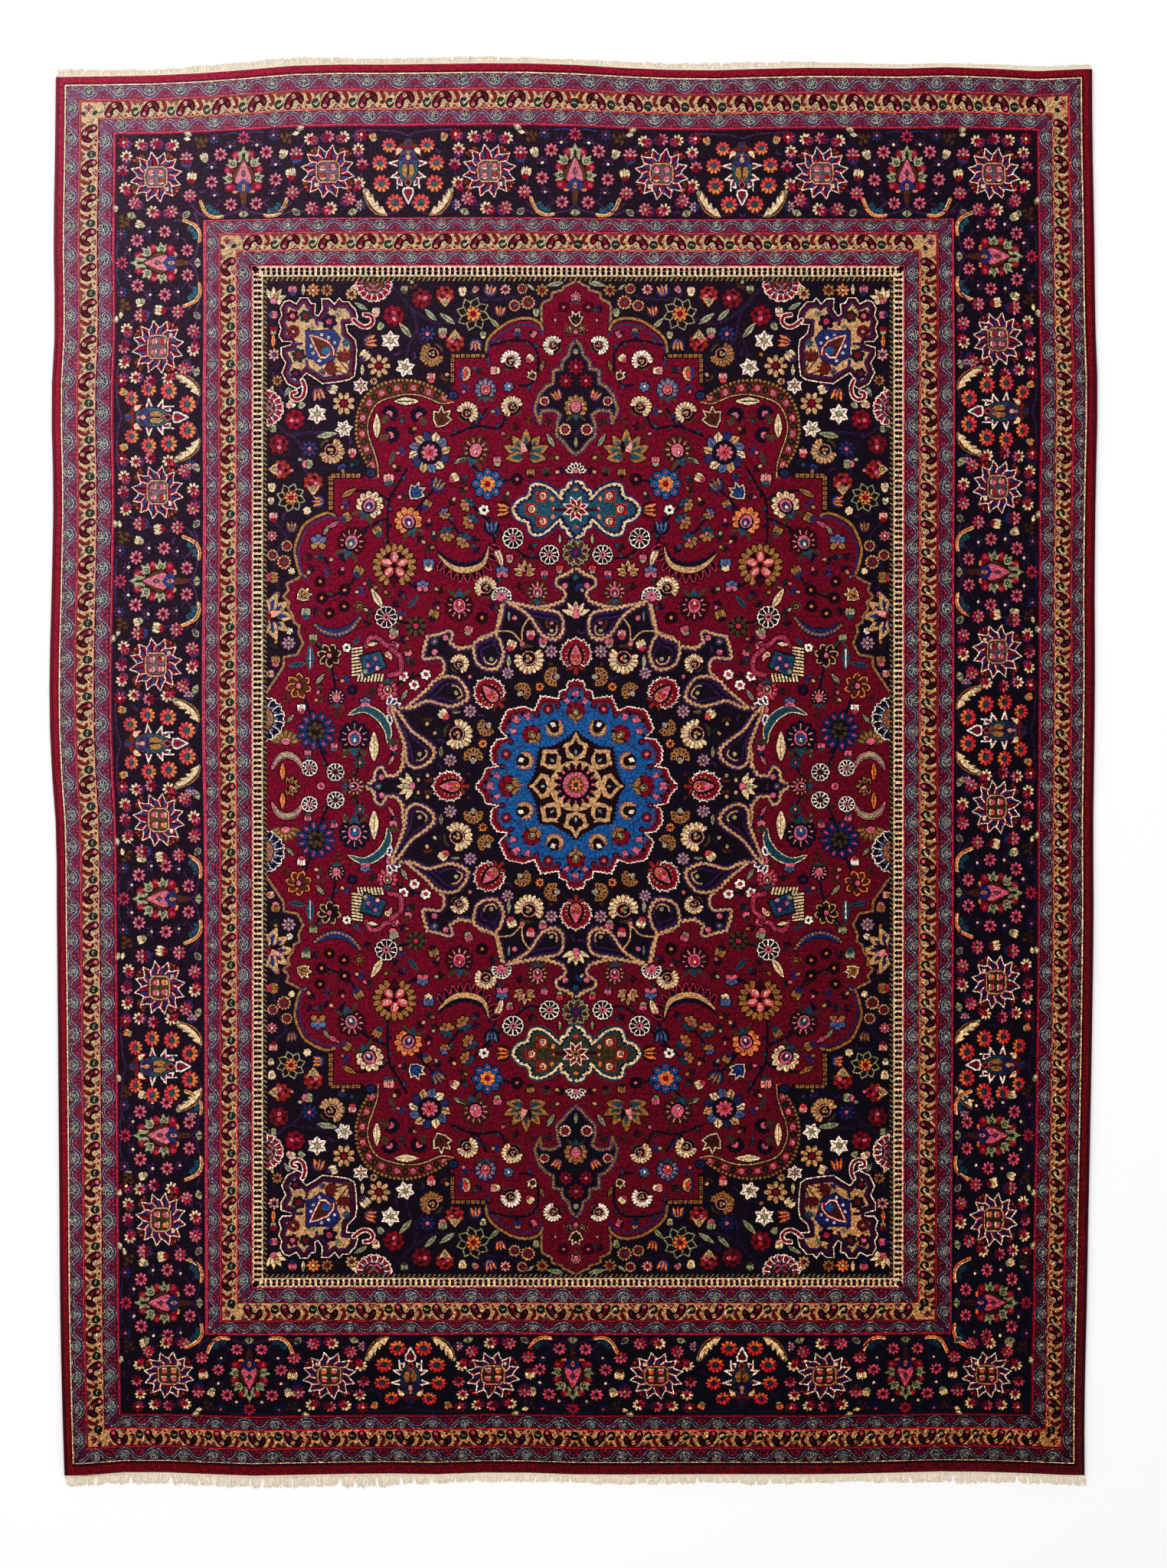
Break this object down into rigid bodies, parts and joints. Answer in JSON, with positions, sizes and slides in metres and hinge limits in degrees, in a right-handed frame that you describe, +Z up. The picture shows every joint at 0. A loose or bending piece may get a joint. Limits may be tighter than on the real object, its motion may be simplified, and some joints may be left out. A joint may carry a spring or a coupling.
{
  "type": "persian rug",
  "caption": "Large rectangular hand-knotted rug with a low dense pile, overcast side cords and short fringed ends, lying flat.",
  "frame": {"origin": "on the floor, at the middle of the box around everything that is built", "axes": "+Z up from the floor, +Y along the rug's length towards the end with the shorter fringe, +X across its width"},
  "size_m": [2.918, 3.989, 0.0127],
  "materials": {
    "knotted_wool": "dense clipped wool pile, matt with a soft sheen, red field with navy, ochre, rose and cream motifs",
    "crimson_overcast_wool": "crimson wool wound tightly over the outer warps",
    "cream_cotton_warp": "undyed cream cotton warps, slightly soiled"
  },
  "bodies": {
    "root": {"rug_body": "knotted_wool", "selvedge_left": "crimson_overcast_wool", "selvedge_right": "crimson_overcast_wool", "fringe_upper": "cream_cotton_warp", "fringe_lower": "cream_cotton_warp"}
  },
  "joints": []
}
